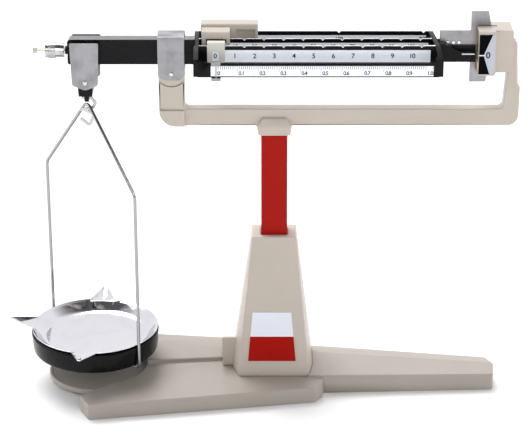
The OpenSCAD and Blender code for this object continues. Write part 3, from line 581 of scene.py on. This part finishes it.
class Finishes:
    """Every finish of the balance, made once."""

    def __init__(self) -> None:
        """Make the materials."""
        holder_low, holder_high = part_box("pan_holder")
        middle = (holder_low + holder_high) / 2
        kinds = {
            "cream_paint": Enamel(Tone.CREAM, Tone.CREAM_DEEP),
            # a darker copy of the cream paint for the base: painted shade
            "base_cream": Enamel(Tone.BASE_CREAM, Tone.BASE_DEEP),
            "red_paint": Enamel(Tone.RED, Tone.RED_DEEP, gloss=0.45, specular=0.10),
            "black_paint": Enamel(Tone.BLACK_WARM, Tone.BLACK, gloss=0.26, specular=0.12),
            "black_gloss": Enamel(Tone.BLACK_WARM, Tone.BLACK, gloss=0.20, specular=0.60,
                                  coat=0.8),
            "holder_black": Enamel(Tone.BLACK_WARM, Tone.BLACK, gloss=0.20, peel=0.05,
                                   specular=0.12),
            "rider_ivory": Enamel(Tone.IVORY, Tone.IVORY_DEEP, gloss=0.38),
            "label_plate": Printed(Tone.RED, Tone.RED_DEEP, specular=0.05),
            "screw_steel": Brushed(Tone.BARE_EDGE, Tone.STEEL, (300.0, 300.0, 300.0), 0.22),
            "knife_steel": Brushed(Tone.STEEL, Tone.STEEL_DARK, (30.0, 30.0, 900.0), 0.24),
            "agate": Agate(),
            "sheet_aluminium": Brushed(Tone.SHEET, Tone.SHEET_DARK, (900.0, 900.0, 40.0), 0.36),
            "zinc_plate": Brushed(Tone.ZINC, Tone.ZINC_DARK, (200.0, 200.0, 60.0), 0.30),
            "magnet_grey": Brushed(Tone.MAGNET, Tone.MAGNET, (400.0, 400.0, 400.0), 0.45),
            "dial_silver": Printed(Tone.DIAL_SILVER, Tone.DIAL_SILVER, 0.38, 0.3),
            "scale_white": Printed(Tone.PAPER_WHITE, Tone.PAPER_SHADE, 0.36),
            "brass_plate": Brushed(Tone.BRASS, Tone.STEEL_DARK, (30.0, 600.0, 600.0), 0.26),
            "nut_metal": Brushed(Tone.STEEL, Tone.STEEL_DARK, (40.0, 700.0, 700.0), 0.22),
            "hook_metal": Brushed(Tone.STEEL, Tone.STEEL_DARK, (200.0, 200.0, 200.0), 0.28),
            "wire_chrome": Polished(Tone.CHROME, Tone.CHROME, roughness=0.10),
            "pan_steel": Polished(Tone.PAN, Tone.PAN_SHADE, tuple(middle), 0.05, 0.03),
            "bare_edge": Brushed(Tone.BARE_EDGE, Tone.STEEL, (40.0, 900.0, 900.0), 0.34),
            "ink": Printed(Tone.INK, Tone.INK_PALE, 0.5, specular=0.1),
            "white_line": Printed(Tone.LINE_WHITE, Tone.PAPER_SHADE, 0.5),
            "label_white": Printed(Tone.LABEL_WHITE, Tone.LABEL_WHITE, 0.4),
            "dial_black": Printed(Tone.BLACK, Tone.BLACK, 0.5, specular=0.02),
            "dial_ink": Printed(Tone.DIAL_INK, Tone.DIAL_INK, 0.5, specular=0.05),
        }
        self.made = {name: kind.dress(name) for name, kind in kinds.items()}

    def __getitem__(self, name: str) -> bpy.types.Material:
        """The finish of that name.

        Args:
            name: Its name.

        Returns:
            The material.
        """
        return self.made[name]

    def of(self, node: str) -> bpy.types.Material:
        """The finish of a node: the base takes a darker copy of the cream paint, which is painted
        shade for the weaker light low down.

        Args:
            node: The node.

        Returns:
            The material.
        """
        return self["base_cream" if node == "base_casting" else slot_of(node)]

    def dress_nodes(self) -> None:
        """Give every node of the frame its finish."""
        for name, node in frame["nodes"].items():
            paint(node, self.of(name))
            LOG.info("node %s dressed", name)


@dataclass
class Castings:
    """Pieces whose shape is the node's own, with rounded edges."""

    edges_mm: dict[str, float] = field(default_factory=lambda: {
        "base_casting": 0.9, "column": 1.2, "yoke": 1.2, "damper_housing": 0.2, "post": 0.7,
        "beam": 0.3, "rider_200g": 0.5, "rider_100g": 0.5, "rider_10g": 0.3, "slider_1g": 0.15,
        "carrier": 0.4, "stirrup_plates": 0.25, "bearing_cover": 0.2, "double_hook": 0.5,
        "vane": 0.15, "magnet_yoke": 0.2, "name_plate": 0.1, "steel_pan": 0.25,
        "pan_holder": 0.3, "zero_nut": 0.06, "dial_plate": 0.08, "stirrup_screws": 0.12,
        "cover_rivets": 0.12, "post_screws": 0.2, "housing_screws": 0.15, "vane_rivets": 0.15,
        "zero_screw": 0.15, "base_bolts": 0.3, "magnets": 0.3, "bail": 0.0,
    })
    sharp_deg: dict[str, float] = field(default_factory=lambda: {"bail": 60.0})

    def build(self, finishes: Finishes) -> dict[str, bpy.types.Object]:
        """Build every softened piece.

        Args:
            finishes: The finishes to dress them in.

        Returns:
            The pieces by node.
        """
        made = {}
        for node, width in self.edges_mm.items():
            softened = Softened(node, width, sharp_deg=self.sharp_deg.get(node, SHARP_DEG))
            made[node] = softened.build(finishes.of(node))
            LOG.info("%s: edges rounded to %.2f mm", node, width)
        return made


@dataclass
class BeamFaces:
    """Faces that differ from the beam's black front: the bright rail tops, the arm's glossy top."""

    fronts_mm: tuple[float, ...] = (-8.0, 7.0)
    tops_mm: tuple[float, ...] = (296.6, 297.8)
    thick_mm: float = 2.0
    notch_mm: float = 2.4
    margin_mm: float = 0.2
    rails_from_mm: float = -62.5
    rails_to_mm: float = 131.0
    arm_low_mm: float = 296.0
    arm_to_mm: float = -66.0
    upward: float = 0.3
    bright_index: int = 1
    gloss_index: int = 2

    def on_rail(self, beam: bpy.types.Object, face: bpy.types.MeshPolygon) -> bool:
        """Whether a face lies on the top of a notched rail or in one of its notches.

        Args:
            beam: The finished beam.
            face: One of its faces.

        Returns:
            Whether it does.
        """
        x, z = face.center.x / MM, face.center.z / MM
        depths = [beam.data.vertices[index].co.y / MM for index in face.vertices]
        return self.rails_from_mm < x < self.rails_to_mm and any(
            front - self.margin_mm < min(depths)
            and max(depths) < front + self.thick_mm + self.margin_mm
            and top - self.notch_mm < z < top + self.margin_mm
            for front, top in zip(self.fronts_mm, self.tops_mm)
        )

    def on_arm(self, face: bpy.types.MeshPolygon) -> bool:
        """Whether a face lies on the arm's top.

        Args:
            face: One of the beam's faces.

        Returns:
            Whether it does.
        """
        x, z = face.center.x / MM, face.center.z / MM
        return x < self.arm_to_mm and z > self.arm_low_mm

    def build(self, beam: bpy.types.Object, bright: bpy.types.Material,
              gloss: bpy.types.Material) -> None:
        """Give those faces their finishes.

        Args:
            beam: The finished beam.
            bright: The bare metal of the rail tops.
            gloss: The glossy black of the arm's top.
        """
        beam.data.materials.append(bright)
        beam.data.materials.append(gloss)
        counts = {self.bright_index: 0, self.gloss_index: 0}
        for face in beam.data.polygons:
            if face.normal.z < self.upward:
                continue
            if self.on_rail(beam, face):
                face.material_index = self.bright_index
            elif self.on_arm(face):
                face.material_index = self.gloss_index
            else:
                continue
            counts[face.material_index] += 1
        LOG.info("beam: %d bright faces on the rails, %d glossy faces on the arm",
                 *counts.values())


@dataclass
class NamePlate:
    """The plate on the column: a white field over a red one, both left bare."""

    divide_mm: float = 49.2

    def build(self, plate: bpy.types.Object, white: bpy.types.Material) -> None:
        """Divide the plate and give its upper part the white.

        Args:
            plate: The finished plate.
            white: The white of the upper field.
        """
        alone(plate)
        plate.data.materials.append(white)
        bpy.ops.object.mode_set(mode="EDIT")
        bpy.ops.mesh.select_all(action="SELECT")
        bpy.ops.mesh.bisect(plane_co=(0, 0, self.divide_mm * MM), plane_no=(0, 0, 1))
        bpy.ops.object.mode_set(mode="OBJECT")
        for face in plate.data.polygons:
            face.material_index = int(face.center.z > self.divide_mm * MM)
        LOG.info("name plate divided at %.1f mm", self.divide_mm)


@dataclass
class Lettering:
    """Figures and marks printed on a face that looks to the front."""

    body: str
    slot: str
    ink: bpy.types.Material
    face_y: float
    film_mm: float = 0.06
    bold_mm: float = 0.09
    spacing: float = 0.84
    film_lift: float = 0.4
    curve_steps: int = 3

    @property
    def film_y(self) -> float:
        """The middle of the film of ink, which lies on the face and dips just into it."""
        return self.face_y - self.film_mm * MM * self.film_lift

    def figure(self, text: str, x: float, z: float, size_mm: float) -> bpy.types.Object:
        """Print a figure centred at a point.

        Args:
            text: The figure.
            x: Its middle along X.
            z: Its middle along Z.
            size_mm: The height of the type.

        Returns:
            The figure as a thin mesh.
        """
        bpy.ops.object.text_add(location=(x, self.film_y, z), rotation=(math.pi / 2, 0, 0))
        figure = alone(bpy.context.object)
        figure.data.body = text
        figure.data.size = size_mm * MM
        figure.data.space_character = self.spacing
        figure.data.align_x = "CENTER"
        figure.data.align_y = "CENTER"
        figure.data.resolution_u = self.curve_steps
        figure.data.offset = self.bold_mm * MM
        figure.data.extrude = self.film_mm * MM / 2
        bpy.ops.object.convert(target="MESH")
        return settle(bpy.context.object, "figure")

    def bar(self, x: float, z_low: float, z_high: float, wide_mm: float) -> bpy.types.Object:
        """Print an upright line.

        Args:
            x: Its middle along X.
            z_low: Its lower end.
            z_high: Its upper end.
            wide_mm: Its width.

        Returns:
            The line as a thin mesh.
        """
        bpy.ops.mesh.primitive_cube_add(size=1, location=(x, self.film_y, (z_low + z_high) / 2),
                                        scale=(wide_mm * MM, self.film_mm * MM, z_high - z_low))
        return settle(bpy.context.object, "bar")

    def row(self, bar: bpy.types.Object, pitch: float, count: int) -> bpy.types.Object:
        """Repeat a line to the right.

        Args:
            bar: The first line.
            pitch: The distance from line to line.
            count: How many there are.

        Returns:
            The row of lines.
        """
        alone(bar)
        repeat = bar.modifiers.new("row", "ARRAY")
        repeat.count = count
        repeat.use_relative_offset = False
        repeat.use_constant_offset = True
        repeat.constant_offset_displace = (pitch, 0, 0)
        bpy.ops.object.modifier_apply(modifier=repeat.name)
        return bar

    def shape(self, corners: Sequence[tuple[float, float]], name: str) -> bpy.types.Object:
        """Print a filled outline.

        Args:
            corners: Its corners as X and Z.
            name: The piece's name.

        Returns:
            The shape as a thin mesh.
        """
        bpy.ops.mesh.primitive_circle_add(vertices=len(corners), fill_type="NGON", radius=MM)
        shape = alone(bpy.context.object)
        for vertex, corner in zip(shape.data.vertices, corners):
            vertex.co = (corner[0], self.film_y, corner[1])
        thick = shape.modifiers.new("film", "SOLIDIFY")
        thick.thickness = self.film_mm * MM
        thick.offset = 0
        bpy.ops.object.modifier_apply(modifier=thick.name)
        bpy.ops.object.mode_set(mode="EDIT")
        bpy.ops.mesh.select_all(action="SELECT")
        bpy.ops.mesh.normals_make_consistent(inside=False)
        bpy.ops.object.mode_set(mode="OBJECT")
        return settle(shape, name)

    def patch(self, across: tuple[float, float], up: tuple[float, float],
              name: str) -> bpy.types.Object:
        """Print a filled rectangle.

        Args:
            across: Its left and right edges.
            up: Its lower and upper edges.
            name: The piece's name.

        Returns:
            The rectangle as a thin mesh.
        """
        (left, right), (low, high) = across, up
        return self.shape([(left, low), (right, low), (right, high), (left, high)], name)

    def finish(self, parts: Sequence[bpy.types.Object], name: str) -> bpy.types.Object:
        """Join what was printed, ink it and let it ride.

        Args:
            parts: The printed marks.
            name: The joined piece's name.

        Returns:
            The printed piece.
        """
        printed = join(parts, name)
        paint(printed, self.ink)
        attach(printed, self.body)
        LOG.info("%s printed", name)
        return printed


@dataclass(frozen=True)
class FigureRow:
    """A row of figures on a strip: all measures in millimetres, the lift from its middle."""

    first: float
    pitch: float
    texts: tuple[str, ...]
    size: float
    lift: float


@dataclass
class BeamScales:
    """What is printed on the four scale strips and on the pointer, in millimetres."""

    first_1g: float = -45.9
    pitch_1g: float = 16.49
    tenths: int = 10
    edge_gap: float = 0.1
    short_tick: float = 2.5
    short_wide: float = 0.36
    tall_tick: tuple[float, float] = (2.4, 4.6)
    tall_wide: float = 0.30
    zero_shift: float = 2.0
    tenth_shift: float = 1.5
    figure_rise: float = 2.35
    figure_size: float = 4.6
    rows: dict[str, FigureRow] = field(default_factory=lambda: {
        "scale_10g": FigureRow(-46.9, 15.6, tuple(str(n) for n in range(11)), 5.6, 0.1),
        "scale_100g": FigureRow(-46.9, 15.6, tuple(str(10 * n) for n in range(11)), 5.0, 1.4),
        "scale_200g": FigureRow(-16.0, 68.0, ("0", "100", "200"), 5.0, 1.6),
    })
    pointer_face: float = -2.0
    pointer_across: tuple[float, float] = (149.0, 159.2)
    pointer_up: tuple[float, float] = (287.4, 288.3)

    def build(self, finishes: Finishes) -> None:
        """Print the scales and the pointer's line.

        Args:
            finishes: The finishes that hold the inks.
        """
        ink = finishes["ink"]
        self.ruled_strip(ink)
        for node, row in self.rows.items():
            self.plain_row(node, row, ink)
        pointer = Lettering("beam", "scale_white", finishes["white_line"], self.pointer_face * MM)
        across = tuple(value * MM for value in self.pointer_across)
        up = tuple(value * MM for value in self.pointer_up)
        pointer.finish([pointer.patch(across, up, "pointer_line")], "pointer_line")

    def ruled_strip(self, ink: bpy.types.Material) -> None:
        """Print the graduation and the figures of the 1 g scale.

        Args:
            ink: The ink.
        """
        low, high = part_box("scale_1g")
        print_1g = Lettering("beam", "scale_white", ink, low.y)
        top = high.z - self.edge_gap * MM
        x0, step = self.first_1g * MM, self.pitch_1g * MM
        tall_from, tall_to = self.tall_tick
        short = print_1g.bar(x0, top - self.short_tick * MM, top, self.short_wide)
        parts = [print_1g.row(short, step / 10, self.tenths * 10 + 1)]
        tall = print_1g.bar(x0, top - tall_to * MM, top - tall_from * MM, self.tall_wide)
        parts.append(print_1g.row(tall, step, self.tenths + 1))
        for tenth in range(self.tenths + 1):
            text = "0" if tenth == 0 else f"{tenth / 10:.1f}"
            shift = self.zero_shift + self.tenth_shift * (tenth > 0)
            parts.append(print_1g.figure(text, x0 + tenth * step + shift * MM,
                                         low.z + self.figure_rise * MM, self.figure_size))
        print_1g.finish(parts, "figures_1g")

    def plain_row(self, node: str, row: FigureRow, ink: bpy.types.Material) -> None:
        """Print a row of figures on a strip.

        Args:
            node: The strip.
            row: The figures and their places.
            ink: The ink.
        """
        low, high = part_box(node)
        print_row = Lettering("beam", "scale_white", ink, low.y)
        z = (low.z + high.z) / 2 + row.lift * MM
        parts = [print_row.figure(text, (row.first + k * row.pitch) * MM, z, row.size)
                 for k, text in enumerate(row.texts)]
        print_row.finish(parts, node.replace("scale", "figures"))


@dataclass
class Dial:
    """The dial face on the damper housing, in millimetres: two black fields, a line and a zero."""

    zero_z: float = 290.0
    rim: float = 0.1
    silver_wide: float = 2.4
    point_x: float = 4.0
    half_gap: float = 0.5
    foot_rise: float = 0.05
    foot_short: float = 1.7
    line_share: float = 0.6
    line_past: float = 0.8
    zero_x: float = 7.3
    zero_size: float = 7.2
    zero_bold: float = 0.25

    def build(self, finishes: Finishes) -> None:
        """Print the dial.

        Args:
            finishes: The finishes that hold the inks.
        """
        low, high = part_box("dial_plate")
        black = Lettering("root", "dial_silver", finishes["dial_black"], low.y)
        left, right = low.x + self.rim * MM, high.x - self.silver_wide * MM
        point = low.x + self.point_x * MM
        z, gap = self.zero_z * MM, self.half_gap * MM
        head, foot = high.z - self.rim * MM, low.z + self.foot_rise * MM
        foot_end = right - self.foot_short * MM
        upper = [(left, z + gap), (point, z + gap), (right, head), (left, head)]
        lower = [(left, foot), (foot_end, foot), (point, z - gap), (left, z - gap)]
        black.finish([black.shape(upper, "upper"), black.shape(lower, "lower")], "dial_field")
        line = Lettering("root", "dial_silver", finishes["white_line"], low.y)
        half = gap * self.line_share
        across, up = (left, point + self.line_past * MM), (z - half, z + half)
        line.finish([line.patch(across, up, "zero")], "dial_zero_line")
        ink = Lettering("root", "dial_silver", finishes["dial_ink"], low.y, bold_mm=self.zero_bold)
        ink.finish([ink.figure("0", low.x + self.zero_x * MM, z, self.zero_size)], "dial_zero")


@dataclass(frozen=True)
class Lamp:
    """A soft square light, in metres and watts."""

    name: str
    place: tuple[float, float, float]
    size: float
    power: float


@dataclass
class Studio:
    """Camera, floor and lights."""

    focal_px: float = 1984.1
    photo_px: float = 531.0
    sensor_mm: float = 36.0
    place_mm: tuple[float, float, float] = (-7.1, -1506.2, 779.3)
    down_deg: float = 22.8
    near_m: float = 0.05
    floor_m: float = 14.0
    floor_tones: tuple[float, float] = (0.86, 0.90)
    floor_roughness: float = 0.7
    floor_clouds: float = 2.0
    ceiling_from: tuple[float, float, float] = (-0.25, 0.45, 0.85)
    ceiling_power: float = 2.7
    ceiling_m: float = 2.0
    ceiling_soft_deg: float = 38.0
    slant: tuple[float, float, float] = (0.0, 0.6, -0.8)
    dark: float = 0.12
    bright: float = 1.15
    dark_blue: float = 1.03
    bright_blue: float = 1.02
    dark_until: float = -0.75
    bright_from: float = -0.35
    aim: tuple[float, float, float] = (0.0, 0.0, 0.15)
    lamps: tuple[Lamp, ...] = (
        Lamp("window", (-1.6, -0.3, 1.0), 1.0, 6.0),
        Lamp("fill", (1.7, -0.5, 0.9), 1.2, 8.0),
        Lamp("front", (0.2, -2.2, 1.4), 1.2, 21.0),
    )

    def camera(self) -> None:
        """Set the camera as the photograph was taken."""
        bpy.ops.object.camera_add(location=[value * MM for value in self.place_mm],
                                  rotation=(math.radians(90 - self.down_deg), 0, 0))
        camera = bpy.context.object
        camera.name = "photo_camera"
        camera.data.sensor_width = self.sensor_mm
        camera.data.lens = self.sensor_mm * self.focal_px / self.photo_px
        camera.data.clip_start = self.near_m
        bpy.context.scene.camera = camera

    def floor(self) -> None:
        """Lay a plain pale floor under the balance."""
        bpy.ops.mesh.primitive_plane_add(size=self.floor_m, location=(0, 0, 0))
        floor = settle(bpy.context.object, "floor")
        surface = Surface("floor_white")
        tone = surface.noise(surface.place(), self.floor_clouds)
        ramp = surface.nodes.new("ShaderNodeMapRange")
        surface.links.new(tone, ramp.inputs["Value"])
        ramp.inputs["To Min"].default_value = self.floor_tones[0]
        ramp.inputs["To Max"].default_value = self.floor_tones[1]
        surface.feed("Base Color", ramp.outputs["Result"])
        surface.set(Roughness=self.floor_roughness)
        paint(floor, surface.material)

    def light(self, lamp: Lamp) -> None:
        """Hang one soft light that faces the balance.

        Args:
            lamp: The light.
        """
        bpy.ops.object.light_add(type="AREA", location=lamp.place)
        light = bpy.context.object
        light.name = lamp.name
        light.data.size = lamp.size
        light.data.energy = lamp.power
        facing = Vector(self.aim) - Vector(lamp.place)
        light.rotation_euler = facing.to_track_quat("-Z", "Y").to_euler()

    def ceiling(self) -> None:
        """Hang the wide soft ceiling light, from behind and a little from the left."""
        bpy.ops.object.light_add(type="SUN", location=(0, 0, self.ceiling_m))
        light = bpy.context.object
        light.name = "ceiling"
        light.data.energy = self.ceiling_power
        light.data.angle = math.radians(self.ceiling_soft_deg)
        light.rotation_euler = Vector(self.ceiling_from).to_track_quat("Z", "Y").to_euler()

    def room(self) -> None:
        """Surround the set with a pale room that is darker on the camera's side."""
        world = bpy.data.worlds.new("room")
        bpy.context.scene.world = world
        world.use_nodes = True
        nodes, links = world.node_tree.nodes, world.node_tree.links
        coords = nodes.new("ShaderNodeTexCoord")
        dot = nodes.new("ShaderNodeVectorMath")
        dot.operation = "DOT_PRODUCT"
        dot.inputs[1].default_value = self.slant
        ramp = nodes.new("ShaderNodeValToRGB")
        span = nodes.new("ShaderNodeMapRange")
        span.inputs["From Min"].default_value = self.dark_until
        span.inputs["From Max"].default_value = self.bright_from
        links.new(coords.outputs["Generated"], dot.inputs[0])
        links.new(dot.outputs["Value"], span.inputs["Value"])
        links.new(span.outputs["Result"], ramp.inputs["Fac"])
        first, last = ramp.color_ramp.elements
        first.color = (self.dark, self.dark, self.dark * self.dark_blue, 1.0)
        last.color = (self.bright, self.bright, self.bright * self.bright_blue, 1.0)
        links.new(ramp.outputs["Color"], nodes["Background"].inputs["Color"])

    def build(self) -> None:
        """Set up the camera, the floor and the lights."""
        self.camera()
        self.floor()
        self.room()
        self.ceiling()
        for lamp in self.lamps:
            self.light(lamp)
        bpy.context.scene.view_settings.view_transform = "Standard"


def main() -> None:
    """Build the balance in order."""
    logging.basicConfig(level=logging.INFO, format="%(message)s")
    Studio().build()
    finishes = Finishes()
    finishes.dress_nodes()
    made = Castings().build(finishes)
    BeamFaces().build(made["beam"], finishes["bare_edge"], finishes["black_gloss"])
    NamePlate().build(made["name_plate"], finishes["label_white"])
    BeamScales().build(finishes)
    Dial().build(finishes)


if __name__ == "__main__":
    main()
